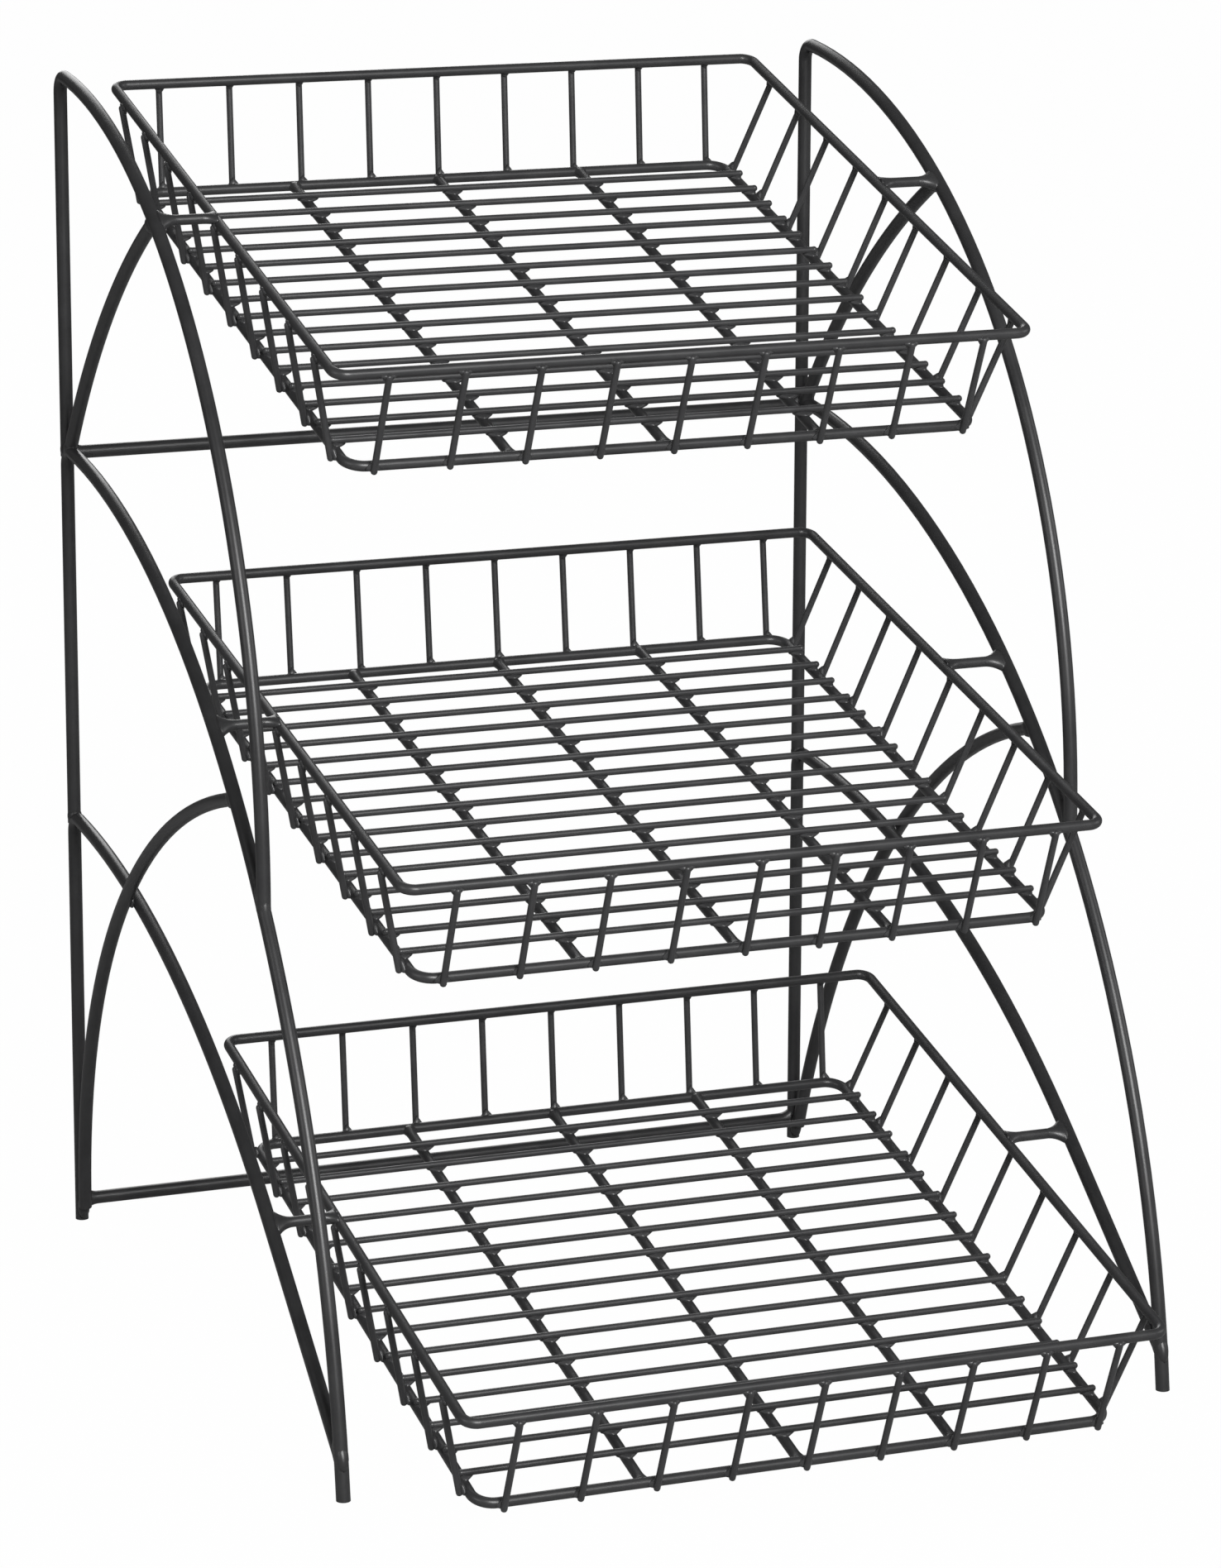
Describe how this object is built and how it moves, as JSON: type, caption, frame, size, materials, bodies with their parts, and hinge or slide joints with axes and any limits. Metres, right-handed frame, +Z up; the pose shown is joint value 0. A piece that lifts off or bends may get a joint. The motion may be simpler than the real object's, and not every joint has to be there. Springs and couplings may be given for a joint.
{
  "type": "tiered wire basket",
  "caption": "Free-standing stand of open wire baskets, one above another and tipped to the front, welded between side frames of bent round rod.",
  "frame": {"origin": "middle of the overall box, on the floor under the feet", "axes": "+X to the right seen from the front, +Y to the rear, +Z up; the baskets tip down towards -Y"},
  "size_m": [0.4018, 0.492, 0.5651],
  "materials": {
    "frame_coat": "satin charcoal powder coat over steel rod",
    "rim_coat": "satin charcoal powder coat over steel wire",
    "wire_coat": "satin charcoal powder coat over fine steel wire"
  },
  "bodies": {
    "root": {"left_lower_brace": "frame_coat", "left_lower_post_and_arc": "frame_coat", "left_middle_post_arc_and_leg": "frame_coat", "left_upper_brace": "frame_coat", "left_upper_post_and_arc": "frame_coat", "right_lower_brace": "frame_coat", "right_lower_post_and_arc": "frame_coat", "right_middle_post_arc_and_leg": "frame_coat", "right_upper_brace": "frame_coat", "right_upper_post_and_arc": "frame_coat", "upper_cross_bar": "frame_coat", "lower_cross_bar": "frame_coat", "upper_basket_top_rim": "rim_coat", "upper_basket_bottom_rim": "rim_coat", "upper_basket_floor_bars": "rim_coat", "upper_basket_left_tab": "rim_coat", "upper_basket_right_tab": "rim_coat", "upper_basket_floor_cross_wires": "wire_coat", "upper_basket_rear_wires": "wire_coat", "upper_basket_front_wires": "wire_coat", "upper_basket_left_wires": "wire_coat", "upper_basket_right_wires": "wire_coat", "middle_basket_top_rim": "rim_coat", "middle_basket_bottom_rim": "rim_coat", "middle_basket_floor_bars": "rim_coat", "middle_basket_left_tab": "rim_coat", "middle_basket_right_tab": "rim_coat", "middle_basket_floor_cross_wires": "wire_coat", "middle_basket_rear_wires": "wire_coat", "middle_basket_front_wires": "wire_coat", "middle_basket_left_wires": "wire_coat", "middle_basket_right_wires": "wire_coat", "lower_basket_top_rim": "rim_coat", "lower_basket_bottom_rim": "rim_coat", "lower_basket_floor_bars": "rim_coat", "lower_basket_left_tab": "rim_coat", "lower_basket_right_tab": "rim_coat", "lower_basket_floor_cross_wires": "wire_coat", "lower_basket_rear_wires": "wire_coat", "lower_basket_front_wires": "wire_coat", "lower_basket_left_wires": "wire_coat", "lower_basket_right_wires": "wire_coat"}
  },
  "joints": []
}
